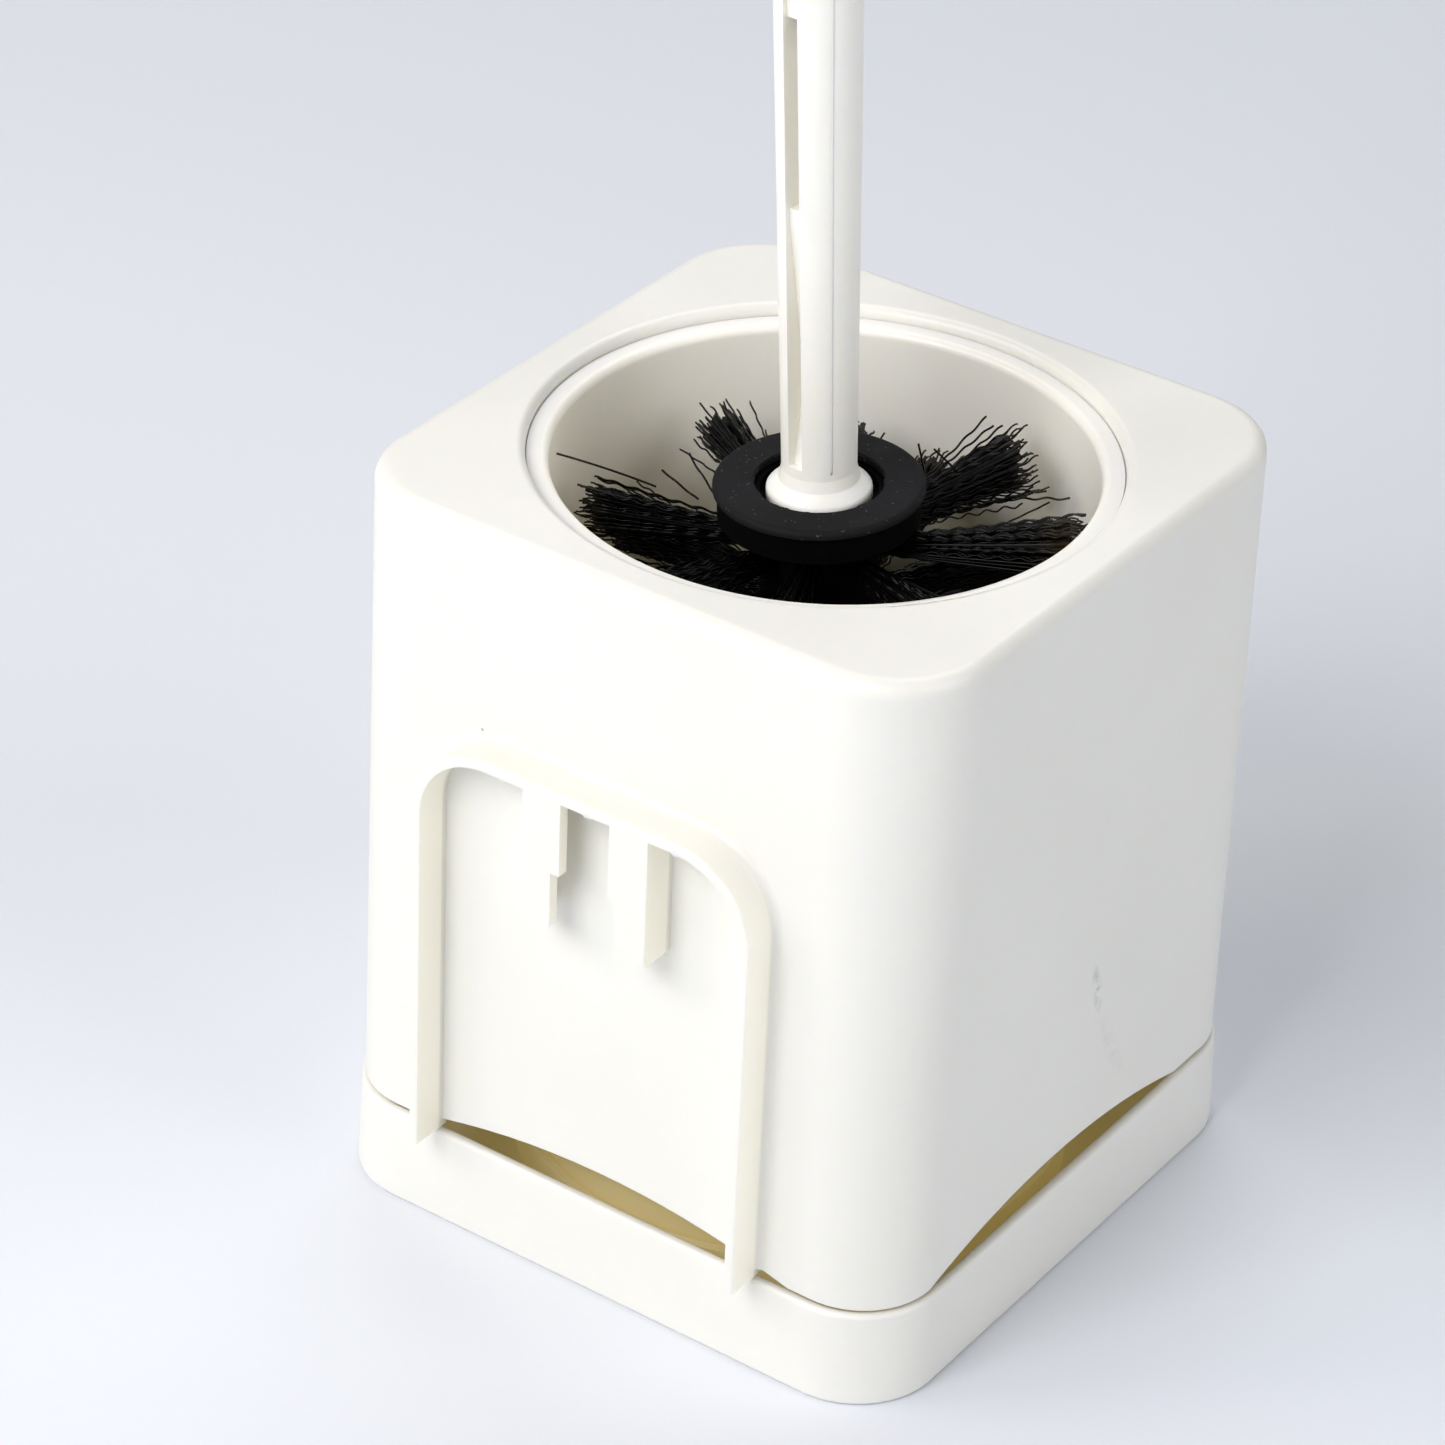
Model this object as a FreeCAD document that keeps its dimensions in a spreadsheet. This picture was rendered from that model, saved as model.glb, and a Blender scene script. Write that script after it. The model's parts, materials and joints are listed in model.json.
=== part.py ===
"""Toilet brush holder: square casing with an inner tube on a drip tray, and a leaning brush.

Frame: millimetres, +Z up, origin at the middle of the tray's underside.
The casing's wall-mount rail is on the +Y face.
The brush pieces are drawn upright about their own axis, with zero at the top of the
black collar, and share one Placement that leans them in the tube.
"""
import FreeCAD, Part
import math
import os
import Sketcher

V = FreeCAD.Vector
Z_AXIS = V(0, 0, 1)

DIMENSIONS = {
    # casing: a square shell, open below, with a round hole in its top
    "casing_half": 55.0,
    "casing_wall": 2.0,
    "casing_bottom": 18.4,
    "casing_top": 133.4,
    "corner_low": 13.5,
    "corner_high": 16.5,
    "edge_round": 2.5,
    "top_plate": 2.2,
    "arch_half": 37.0,
    "arch_rise": 5.2,
    "side_arch_shift": 4.4,
    # round seat in the top, which holds the inner tube's flange
    "recess_radius": 47.2,
    "recess_depth": 3.6,
    "recess_round": 1.5,
    "hole_radius": 45.3,
    "seat_radius": 49.6,
    "seat_depth": 5.4,
    # inner tube
    "tube_radius": 43.5,
    "tube_wall": 1.6,
    "tube_foot": 2.7,
    "flange_radius": 47.0,
    "flange_top": 131.5,
    "flange_thick": 1.6,
    "lip_round": 1.4,
    # wall-mount rail and its two tongues on the +Y face
    "rail_half": 32.4,
    "rail_shift": 1.2,
    "rail_top": 97.8,
    "rail_corner": 14.5,
    "rail_wall": 1.7,
    "rail_depth": 6.9,
    "rail_round": 1.5,
    "rail_front_round": 0.4,
    "tongue_inner": 4.65,
    "tongue_notch": 6.3,
    "tongue_outer": 11.9,
    "tongue_front": 2.0,
    "tongue_web": 1.9,
    "tongue_notch_z": 82.8,
    "tongue_end_z": 72.7,
    # drip tray
    "tray_half_low": 56.3,
    "tray_half_high": 55.8,
    "tray_corner": 15.0,
    "tray_height": 17.6,
    "tray_wall": 2.0,
    "tray_floor": 2.4,
    "tray_rim_round": 0.8,
    "ring_inner": 45.5,
    "ring_wall": 1.5,
    "ring_top": 9.0,
    "rib_thick": 2.0,
    "rib_top": 17.0,
    "rib_reach": 41.0,
    "boss_radius": 10.0,
    "boss_top": 20.8,
    # brush handle: a tapered round rod, slotted on both sides to a central web
    "disc_radius": 8.45,
    "disc_low": -2.6,
    "disc_top": -0.9,
    "disc_round": 0.8,
    "skirt_radius": 6.5,
    "skirt_top": 0.9,
    "rod_root": 2.8,
    "rod_low_radius": 6.0,
    "rod_high_radius": 8.6,
    "rod_high": 252.0,
    "handle_top": 258.0,
    "end_radius": 4.0,
    "spigot_radius": 4.0,
    "spigot_end": -18.0,
    "slot_gap": 2.7,
    "web_half": 1.1,
    "scoop_low": 4.5,
    "scoop_low_floor": 4.6,
    "scoop_mid_low": 14.5,
    "scoop_mid_high": 24.0,
    "scoop_mid_floor": 2.7,
    "scoop_high": 46.3,
    "scoop_high_floor": 5.3,
    "slot_rib": 2.9,
    "rib_inset": 1.1,
    "slot_length": 32.0,
    "flat_half": 5.0,
    "flat_low": 232.0,
    "hang_radius": 3.5,
    "hang_height": 246.0,
    # brush head
    "collar_radius": 16.9,
    "collar_thick": 1.3,
    "collar_round": 0.9,
    "collar_hole": 10.5,
    "core_radius": 9.5,
    "core_flange_radius": 16.2,
    "core_flange_low": -6.0,
    "core_seat_radius": 9.4,
    "core_seat_depth": 2.7,
    "core_bottom": -99.0,
    "socket_radius": 4.2,
    "socket_end": -19.0,
    "ring_first": -11.0,
    "ring_pitch": 10.4,
    "tuft_hole": 2.0,
    "tuft_hole_bottom": 4.3,
    "tuft_root_radius": 1.4,
    "tuft_root": 5.2,
    "tuft_tip_radius": 4.9,
    "tuft_tip": 36.6,
    "staple_thick": 0.6,
    "staple_width": 3.0,
    "staple_height": 1.6,
    "tip_tuft_radius": 1.7,
    "tip_tuft_end_radius": 2.3,
    "tip_tuft_root": -96.0,
    "tip_tuft_length": 9.5,
    "tip_tuft_circle": 5.6,
    "tuft_turn": 30.0,
    # how the brush stands in the tube
    "brush_height": 127.5,
    "brush_shift": 0.85,
    "lean": 2.8,
    "lean_heading": 34.0,
    "brush_turn": -5.0,
}
RING_COUNT = 9
TUFTS_PER_RING = 8
TIP_TUFTS = 6
SLOT_COUNT = 6

doc = FreeCAD.newDocument("toilet_brush_holder")
sheet = doc.addObject("Spreadsheet::Sheet", "dims")
for row, (alias, value) in enumerate(DIMENSIONS.items(), start=1):
    sheet.set(f"A{row}", alias)
    sheet.set(f"B{row}", str(value))
    sheet.setAlias(f"B{row}", alias)
doc.recompute()


def size(expression):
    """The value of an expression made of sheet aliases, such as casing_half - casing_wall."""
    return float(sheet.evalExpression(expression))


def bound(expression):
    """The same expression with each alias pointing at the sheet, for setExpression."""
    words = expression.replace("(", " ( ").replace(")", " ) ").split()
    text = " ".join(f"dims.{word}" if word in DIMENSIONS else word for word in words)
    return text.replace("cos (", "cos(").replace("sin (", "sin(")


def bind(thing, **expressions):
    for name, expression in expressions.items():
        thing.setExpression(name, bound(expression))


# ---------------------------------------------------------------- sketches and features

def new_body(name):
    body = doc.addObject("PartDesign::Body", name)
    body.Label = name
    return body


def origin_plane(body, role):
    return next(item for item in body.Origin.OriginFeatures if item.Role == role)


def new_sketch(body, role, name, offset="0", turn=0.0):
    """A sketch on one of the body's origin planes, moved along that plane's normal."""
    sketch = body.newObject("Sketcher::SketchObject", name)
    sketch.AttachmentSupport = [(origin_plane(body, role), "")]
    sketch.MapMode = "FlatFace"
    rotation = FreeCAD.Rotation(V(0, 1, 0), turn)
    sketch.AttachmentOffset = FreeCAD.Placement(rotation.multVec(V(0, 0, size(offset))), rotation)
    if turn == 0.0 and offset != "0":
        sketch.setExpression("AttachmentOffset.Base.z", bound(offset))
    return sketch


def pin_point(sketch, geometry, point, across, up):
    """Ties one point of a sketch to a place given by two expressions."""
    for kind, expression in (("DistanceX", across), ("DistanceY", up)):
        value = size(expression)
        if abs(value) < 1e-9:
            axis = -2 if kind == "DistanceX" else -1
            sketch.addConstraint(Sketcher.Constraint("PointOnObject", geometry, point, axis))
            continue
        index = sketch.addConstraint(Sketcher.Constraint(kind, geometry, point, value))
        sketch.setExpression(f"Constraints[{index}]", bound(expression))


def add_radius(sketch, geometry, expression):
    index = sketch.addConstraint(Sketcher.Constraint("Radius", geometry, size(expression)))
    sketch.setExpression(f"Constraints[{index}]", bound(expression))


def polygon(sketch, points):
    """A closed outline of straight edges through points given as pairs of expressions."""
    places = [V(size(across), size(up), 0) for across, up in points]
    first = sketch.GeometryCount
    for here, there in zip(places, places[1:] + places[:1]):
        sketch.addGeometry(Part.LineSegment(here, there))
    for index, (across, up) in enumerate(points):
        before = first + (index - 1) % len(points)
        sketch.addConstraint(Sketcher.Constraint("Coincident", before, 2, first + index, 1))
        pin_point(sketch, first + index, 1, across, up)


def circle(sketch, across, up, radius):
    centre = V(size(across), size(up), 0)
    index = sketch.addGeometry(Part.Circle(centre, Z_AXIS, size(radius)))
    pin_point(sketch, index, 3, across, up)
    add_radius(sketch, index, radius)


def rounded_square(sketch, half, radius):
    """A square about the origin with four round corners."""
    middle = f"( {half} ) - ( {radius} )"
    quarter = math.pi / 2
    arcs = []
    for turn, (side, rise) in enumerate((("", ""), ("-", ""), ("-", "-"), ("", "-"))):
        across = f"{side} ( {middle} )" if side else middle
        up = f"{rise} ( {middle} )" if rise else middle
        centre = V(size(across), size(up), 0)
        round_edge = Part.Circle(centre, Z_AXIS, size(radius))
        arc = Part.ArcOfCircle(round_edge, turn * quarter, (turn + 1) * quarter)
        index = sketch.addGeometry(arc)
        pin_point(sketch, index, 3, across, up)
        add_radius(sketch, index, radius)
        arcs.append(index)
    for here, there in zip(arcs, arcs[1:] + arcs[:1]):
        start = sketch.getPoint(here, 2)
        end = sketch.getPoint(there, 1)
        line = sketch.addGeometry(Part.LineSegment(start, end))
        sketch.addConstraint(Sketcher.Constraint("Tangent", here, 2, line, 1))
        sketch.addConstraint(Sketcher.Constraint("Tangent", line, 2, there, 1))


def pad(body, sketch, length, name, backwards=False):
    feature = body.newObject("PartDesign::Pad", name)
    feature.Profile = sketch
    feature.Reversed = backwards
    bind(feature, Length=length)
    return feature


def pocket(body, sketch, length, name, backwards=False, both_sides=False):
    feature = body.newObject("PartDesign::Pocket", name)
    feature.Profile = sketch
    feature.Reversed = backwards
    if both_sides:
        feature.Midplane = True
    bind(feature, Length=length)
    return feature


def loft(body, low, high, name, kind="Additive"):
    feature = body.newObject(f"PartDesign::{kind}Loft", name)
    feature.Profile = low
    feature.Sections = [high]
    feature.Ruled = True
    return feature


def revolve(body, sketch, name):
    feature = body.newObject("PartDesign::Revolution", name)
    feature.Profile = sketch
    feature.ReferenceAxis = (sketch, ["V_Axis"])
    feature.Angle = 360
    return feature


def check_change(feature, sign, body):
    """Stops the build if a feature did not add (+1) or remove (-1) material."""
    doc.recompute()
    before = feature.BaseFeature.Shape.Volume
    change = feature.Shape.Volume - before
    if change * sign <= 0:
        raise RuntimeError(f"{body.Label}: {feature.Name} changed the volume by {change:.2f}")


def round_edges(body, base, chosen, radius, name):
    """Rounds the edges of the base feature for which chosen(edge) is true."""
    doc.recompute()
    edges = [f"Edge{i}" for i, edge in enumerate(base.Shape.Edges, start=1) if chosen(edge)]
    feature = body.newObject("PartDesign::Fillet", name)
    feature.Base = (base, edges)
    bind(feature, Radius=radius)
    doc.recompute()
    return feature


def level_edge(edge, height):
    box = edge.BoundBox
    return abs(box.ZMin - height) < 0.01 and abs(box.ZMax - height) < 0.01


# ---------------------------------------------------------------- drip tray

def make_drip_tray():
    """A square dish with a ring round the tube's foot, crossed ribs and a central boss."""
    body = new_body("drip_tray")
    low = new_sketch(body, "XY_Plane", "tray_low")
    rounded_square(low, "tray_half_low", "tray_corner")
    high = new_sketch(body, "XY_Plane", "tray_high", "tray_height")
    rounded_square(high, "tray_half_high", "tray_corner")
    loft(body, low, high, "tray_block")

    floor = new_sketch(body, "XY_Plane", "well_low", "tray_floor")
    rounded_square(floor, "tray_half_low - tray_wall", "tray_corner - tray_wall")
    brim = new_sketch(body, "XY_Plane", "well_high", "tray_height + 1")
    rounded_square(brim, "tray_half_high - tray_wall", "tray_corner - tray_wall")
    well = loft(body, floor, brim, "tray_well", "Subtractive")
    check_change(well, -1, body)

    rim = round_edges(body, well, lambda edge: level_edge(edge, size("tray_height")),
                      "tray_rim_round", "tray_rim")
    foot = round_edges(body, rim, lambda edge: level_edge(edge, 0.0), "tray_rim_round", "tray_edge")

    ring = new_sketch(body, "XY_Plane", "ring_plan", "tray_floor")
    circle(ring, "0", "0", "ring_inner")
    circle(ring, "0", "0", "ring_inner + ring_wall")
    check_change(pad(body, ring, "ring_top - tray_floor", "foot_ring"), 1, body)

    ribs = new_sketch(body, "XY_Plane", "rib_plan", "tray_floor")
    near = "rib_thick / 2"
    far = "rib_reach"
    cross = [(near, near), (far, near), (far, f"- {near}"), (near, f"- {near}"),
             (near, f"- {far}"), (f"- {near}", f"- {far}"), (f"- {near}", f"- {near}"),
             (f"- {far}", f"- {near}"), (f"- {far}", near), (f"- {near}", near),
             (f"- {near}", far), (near, far)]
    polygon(ribs, cross)
    check_change(pad(body, ribs, "rib_top - tray_floor", "cross_ribs"), 1, body)

    boss = new_sketch(body, "XY_Plane", "boss_plan", "tray_floor")
    circle(boss, "0", "0", "boss_radius")
    check_change(pad(body, boss, "boss_top - tray_floor", "rest_boss"), 1, body)
    return body


# ---------------------------------------------------------------- casing

def rail_line(plan, thickness):
    """One outline of the rail: two legs and a top, joined by round bends. Returns its legs."""
    radius = f"rail_corner - {thickness}"
    quarter = math.pi / 2
    bends = []
    for turn, side in enumerate("+-"):
        across = f"rail_shift {side} ( rail_half - rail_corner )"
        up = "rail_top - rail_corner"
        round_edge = Part.Circle(V(size(across), size(up), 0), Z_AXIS, size(radius))
        arc = Part.ArcOfCircle(round_edge, turn * quarter, (turn + 1) * quarter)
        index = plan.addGeometry(arc)
        pin_point(plan, index, 3, across, up)
        add_radius(plan, index, radius)
        bends.append(index)
    right, left = bends
    top = plan.addGeometry(Part.LineSegment(plan.getPoint(right, 2), plan.getPoint(left, 1)))
    plan.addConstraint(Sketcher.Constraint("Tangent", right, 2, top, 1))
    plan.addConstraint(Sketcher.Constraint("Tangent", top, 2, left, 1))
    legs = []
    for bend, end in ((right, 1), (left, 2)):
        start = plan.getPoint(bend, end)
        foot = V(start.x, size("casing_bottom"), 0)
        leg = plan.addGeometry(Part.LineSegment(start, foot))
        plan.addConstraint(Sketcher.Constraint("Tangent", bend, end, leg, 1))
        low = plan.addConstraint(Sketcher.Constraint("DistanceY", leg, 2, foot.y))
        plan.setExpression(f"Constraints[{low}]", bound("casing_bottom"))
        legs.append(leg)
    return legs


def add_rail(body):
    """An upside-down U that stands off the +Y face, open downwards."""
    face = "- casing_half + casing_wall / 2"
    plan = new_sketch(body, "XZ_Plane", "rail_plan", face)
    for outer, inner in zip(rail_line(plan, "0"), rail_line(plan, "rail_wall")):
        foot = Part.LineSegment(plan.getPoint(outer, 2), plan.getPoint(inner, 2))
        foot = plan.addGeometry(foot)
        plan.addConstraint(Sketcher.Constraint("Coincident", outer, 2, foot, 1))
        plan.addConstraint(Sketcher.Constraint("Coincident", inner, 2, foot, 2))
    rail = pad(body, plan, "rail_depth + casing_wall / 2", "wall_rail", backwards=True)
    check_change(rail, 1, body)

    def is_outline(edge, depth):
        """True for the straight edges of the outer outline at this distance along Y."""
        box = edge.BoundBox
        if max(abs(box.YMin - size(depth)), abs(box.YMax - size(depth))) > 0.01:
            return False
        across = abs(box.Center.x - size("rail_shift"))
        beside = abs(across - size("rail_half")) < 0.01 and box.ZLength > 20
        above = abs(box.ZMin - size("rail_top")) < 0.01 and box.XLength > 20
        return beside or above

    root = round_edges(body, rail, lambda edge: is_outline(edge, "casing_half"),
                       "rail_round", "rail_root")
    round_edges(body, root, lambda edge: is_outline(edge, "casing_half + rail_depth"),
                "rail_front_round", "rail_front")


def add_tongues(body):
    """Two mirrored L-section tongues that hang from the rail and make a downward channel."""
    front = new_sketch(body, "XZ_Plane", "tongue_fronts", "- casing_half - rail_depth")
    top = "rail_top - rail_wall / 2"
    outline = [("tongue_inner", top), ("tongue_inner", "tongue_notch_z"),
               ("tongue_notch", "tongue_notch_z"), ("tongue_notch", "tongue_end_z"),
               ("tongue_outer", "tongue_end_z"), ("tongue_outer", top)]
    for side in ("", "- "):
        polygon(front, [(side + across, up) for across, up in outline])
    check_change(pad(body, front, "tongue_front", "tongue_plates"), 1, body)

    web = new_sketch(body, "XZ_Plane", "tongue_sides", "- casing_half + casing_wall / 2")
    for side in ("", "-"):
        inside = f"{side} ( tongue_outer - tongue_web )" if side else "tongue_outer - tongue_web"
        outside = f"{side} tongue_outer" if side else "tongue_outer"
        polygon(web, [(inside, top), (inside, "tongue_end_z"),
                      (outside, "tongue_end_z"), (outside, top)])
    webs = pad(body, web, "rail_depth + casing_wall / 2 - tongue_front / 2", "tongue_webs",
               backwards=True)
    check_change(webs, 1, body)


def add_arch(body, role, name, middle):
    """Cuts the shallow arch in the lower edge of two opposite walls."""
    sketch = new_sketch(body, role, name)
    half = size("arch_half")
    radius = "( arch_half * arch_half + arch_rise * arch_rise ) / ( 2 * arch_rise )"
    centre_z = f"casing_bottom + arch_rise - {radius}"
    reach = math.asin(half / size(radius))
    centre = V(size(middle), size(centre_z), 0)
    round_edge = Part.Circle(centre, Z_AXIS, size(radius))
    arc = sketch.addGeometry(Part.ArcOfCircle(round_edge, math.pi / 2 - reach, math.pi / 2 + reach))
    pin_point(sketch, arc, 3, middle, centre_z)
    add_radius(sketch, arc, radius)
    left = V(centre.x - half, size("casing_bottom"), 0)
    right = V(centre.x + half, size("casing_bottom"), 0)
    chord = sketch.addGeometry(Part.LineSegment(left, right))
    sketch.addConstraint(Sketcher.Constraint("Coincident", arc, 2, chord, 1))
    sketch.addConstraint(Sketcher.Constraint("Coincident", chord, 2, arc, 1))
    bottom = sketch.addConstraint(Sketcher.Constraint("DistanceY", chord, 1, left.y))
    sketch.setExpression(f"Constraints[{bottom}]", bound("casing_bottom"))
    sketch.addConstraint(Sketcher.Constraint("Horizontal", chord))
    cut = pocket(body, sketch, "4 * casing_half", name + "_cut", both_sides=True)
    check_change(cut, -1, body)


def make_casing():
    """The square shell with its tube seat, arched lower edge, wall rail and tongues."""
    body = new_body("casing")
    low = new_sketch(body, "XY_Plane", "casing_low", "casing_bottom")
    rounded_square(low, "casing_half", "corner_low")
    high = new_sketch(body, "XY_Plane", "casing_high", "casing_top")
    rounded_square(high, "casing_half", "corner_high")
    loft(body, low, high, "casing_block")

    inside_low = new_sketch(body, "XY_Plane", "inside_low", "casing_bottom")
    rounded_square(inside_low, "casing_half - casing_wall", "corner_low - casing_wall")
    inside_high = new_sketch(body, "XY_Plane", "inside_high", "casing_top - top_plate")
    rounded_square(inside_high, "casing_half - casing_wall", "corner_high - casing_wall")
    check_change(loft(body, inside_low, inside_high, "inside", "Subtractive"), -1, body)

    seat = new_sketch(body, "XY_Plane", "seat_plan", "casing_top - seat_depth")
    circle(seat, "0", "0", "seat_radius")
    check_change(pad(body, seat, "seat_depth - top_plate / 2", "tube_seat"), 1, body)
    hole = new_sketch(body, "XY_Plane", "hole_plan", "casing_top")
    circle(hole, "0", "0", "hole_radius")
    check_change(pocket(body, hole, "seat_depth + 1", "tube_hole"), -1, body)
    recess = new_sketch(body, "XY_Plane", "recess_plan", "casing_top")
    circle(recess, "0", "0", "recess_radius")
    opened = pocket(body, recess, "recess_depth", "flange_recess")
    check_change(opened, -1, body)

    def is_top_edge(edge, outer):
        box = edge.BoundBox
        beyond = max(abs(box.XMin), abs(box.XMax), abs(box.YMin), abs(box.YMax))
        return level_edge(edge, size("casing_top")) and (beyond > size("casing_half - 1")) == outer

    rim = round_edges(body, opened, lambda edge: is_top_edge(edge, False), "recess_round",
                      "recess_edge")
    round_edges(body, rim, lambda edge: is_top_edge(edge, True), "edge_round", "top_edge")
    add_arch(body, "XZ_Plane", "arch_back", "0")
    add_arch(body, "YZ_Plane", "arch_side", "side_arch_shift")
    add_rail(body)
    add_tongues(body)
    return body


def make_inner_tube():
    """The round liner, hung in the casing's seat by its flange, with its foot in the tray."""
    body = new_body("inner_tube")
    half = new_sketch(body, "XZ_Plane", "tube_profile")
    polygon(half, [("tube_radius", "tube_foot"),
                   ("tube_radius + tube_wall", "tube_foot"),
                   ("tube_radius + tube_wall", "flange_top - flange_thick"),
                   ("flange_radius", "flange_top - flange_thick"),
                   ("flange_radius", "flange_top"),
                   ("tube_radius", "flange_top")])
    tube = revolve(body, half, "tube")

    def is_lip(edge):
        box = edge.BoundBox
        return level_edge(edge, size("flange_top")) and box.XMax < size("tube_radius") + 0.1

    round_edges(body, tube, is_lip, "lip_round", "tube_lip")
    return body


# ---------------------------------------------------------------- brush

def brush_placement():
    """Leans the brush about the middle of its collar, after turning it about its axis."""
    heading = math.radians(size("lean_heading"))
    tilt_axis = V(-math.sin(heading), math.cos(heading), 0)
    lean = FreeCAD.Rotation(tilt_axis, size("lean"))
    turn = FreeCAD.Rotation(Z_AXIS, size("brush_turn"))
    shift = size("brush_shift")
    place = V(shift * math.cos(heading), shift * math.sin(heading), size("brush_height"))
    return FreeCAD.Placement(place, lean.multiply(turn))


def make_handle():
    """A tapered rod with a foot disc and a spigot, slotted on both sides, with a hanging hole."""
    body = new_body("brush_handle")
    half = new_sketch(body, "XZ_Plane", "handle_profile")
    polygon(half, [("0", "spigot_end"), ("spigot_radius", "spigot_end"),
                   ("spigot_radius", "disc_low"), ("disc_radius", "disc_low"),
                   ("disc_radius", "disc_top"), ("skirt_radius", "skirt_top"),
                   ("rod_low_radius", "rod_root"), ("rod_high_radius", "rod_high"),
                   ("end_radius", "handle_top"), ("0", "handle_top")])
    rod = revolve(body, half, "rod")

    def is_end(edge):
        return level_edge(edge, size("handle_top")) or level_edge(edge, size("rod_high"))

    end = round_edges(body, rod, is_end, "end_radius / 2", "rod_end")
    round_edges(body, end, lambda edge: level_edge(edge, size("disc_top")), "disc_round", "disc_edge")

    slots = new_sketch(body, "YZ_Plane", "slot_plan")
    outside = "rod_high_radius + 2"
    scoop = [("scoop_low_floor", "scoop_low"), ("scoop_mid_floor", "scoop_mid_low"),
             ("scoop_mid_floor", "scoop_mid_high"), ("scoop_high_floor", "scoop_high"),
             (outside, "scoop_high"), (outside, "scoop_low")]
    for side in ("", "- "):
        polygon(slots, [(f"{side}( {across} )", up) for across, up in scoop])
        for index in range(SLOT_COUNT - 1):
            start = f"scoop_high + slot_rib + {index} * ( slot_rib + slot_length )"
            end = f"{start} + slot_length"
            inner, outer = f"{side}web_half", f"{side}( {outside} )"
            polygon(slots, [(inner, start), (inner, end), (outer, end), (outer, start)])
    check_change(pocket(body, slots, "slot_gap", "slots", both_sides=True), -1, body)

    groove = new_sketch(body, "YZ_Plane", "groove_plan")
    last = f"scoop_high + {SLOT_COUNT - 1} * ( slot_rib + slot_length )"
    for side in ("", "- "):
        low, high = f"{side}( rod_low_radius - rib_inset )", f"{side}( rod_high_radius - rib_inset )"
        outer = f"{side}( {outside} )"
        polygon(groove, [(low, "scoop_mid_low"), (high, last), (outer, last),
                         (outer, "scoop_mid_low")])
    check_change(pocket(body, groove, "slot_gap", "groove", both_sides=True), -1, body)

    flats = new_sketch(body, "XZ_Plane", "flat_plan")
    for side in ("", "-"):
        inner = f"{side} flat_half" if side else "flat_half"
        outer = f"{side} ( {outside} )" if side else outside
        polygon(flats, [(inner, "flat_low"), (inner, "handle_top + 1"),
                        (outer, "handle_top + 1"), (outer, "flat_low - 6")])
    check_change(pocket(body, flats, "4 * rod_high_radius", "flats", both_sides=True), -1, body)

    hole = new_sketch(body, "YZ_Plane", "hang_plan")
    circle(hole, "0", "hang_height", "hang_radius")
    check_change(pocket(body, hole, "4 * rod_high_radius", "hang_hole", both_sides=True), -1, body)
    return body


def make_collar():
    """The flat rubber ring on top of the head, round the handle's foot disc."""
    body = new_body("head_collar")
    half = new_sketch(body, "XZ_Plane", "collar_profile")
    polygon(half, [("collar_hole", "- collar_thick"), ("collar_radius", "- collar_thick"),
                   ("collar_radius", "0"), ("collar_hole", "0")])
    ring = revolve(body, half, "collar")

    def is_outer_top(edge):
        return level_edge(edge, 0.0) and edge.BoundBox.XMax > size("collar_radius") - 0.1

    round_edges(body, ring, is_outer_top, "collar_round", "collar_edge")
    return body


def make_core():
    """The round core with a socket for the handle and rings of drilled tuft holes."""
    body = new_body("head_core")
    half = new_sketch(body, "XZ_Plane", "core_profile")
    polygon(half, [("0", "core_bottom"), ("core_radius", "core_bottom"),
                   ("core_radius", "core_flange_low"), ("core_flange_radius", "core_flange_low"),
                   ("core_flange_radius", "- collar_thick"), ("core_seat_radius", "- collar_thick"),
                   ("core_seat_radius", "- core_seat_depth"), ("socket_radius", "- core_seat_depth"),
                   ("socket_radius", "socket_end"), ("0", "socket_end")])
    revolve(body, half, "core")
    step = 360.0 / TUFTS_PER_RING
    for first in range(2):
        sketch = new_sketch(body, "XZ_Plane", f"holes_{first}", "tuft_hole_bottom",
                            turn=size("tuft_turn") + first * step / 2)
        for ring in range(first, RING_COUNT, 2):
            circle(sketch, "0", f"ring_first - {ring} * ring_pitch", "tuft_hole")
        holes = pocket(body, sketch, "2 * core_radius", f"tuft_holes_{first}", backwards=True)
        check_change(holes, -1, body)
        around = body.newObject("PartDesign::PolarPattern", f"hole_rings_{first}")
        around.Originals = [holes]
        around.Axis = (next(item for item in body.Origin.OriginFeatures if item.Role == "Z_Axis"), [""])
        around.Angle = 360
        around.Occurrences = TUFTS_PER_RING
        body.Tip = around
        doc.recompute()

    ends = new_sketch(body, "XY_Plane", "tip_hole_plan", "core_bottom")
    circle(ends, "0", "0", "tuft_hole")
    for index in range(TIP_TUFTS):
        angle = f"{360 * index // TIP_TUFTS}"
        circle(ends, f"tip_tuft_circle * cos({angle})", f"tip_tuft_circle * sin({angle})", "tuft_hole")
    depth = "tip_tuft_root - core_bottom + staple_thick"
    check_change(pocket(body, ends, depth, "tip_holes", backwards=True), -1, body)
    return body


def group(name, pieces):
    """One node made of separate solids."""
    fuse = doc.addObject("Part::MultiFuse", name)
    fuse.Label = name
    fuse.Shapes = pieces
    fuse.Refine = False
    return fuse


def ring_angle(ring, index):
    """The heading of a tuft: every other ring is turned by half a step."""
    step = 360.0 / TUFTS_PER_RING
    return size("tuft_turn") + index * step + (ring % 2) * step / 2


def outward(angle, radius, height):
    """A placement at a radius and height, whose own Z axis points away from the brush's axis."""
    rotation = FreeCAD.Rotation(Z_AXIS, angle).multiply(FreeCAD.Rotation(V(0, 1, 0), 90))
    heading = math.radians(angle)
    place = V(radius * math.cos(heading), radius * math.sin(heading), height)
    return FreeCAD.Placement(place, rotation)


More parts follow.
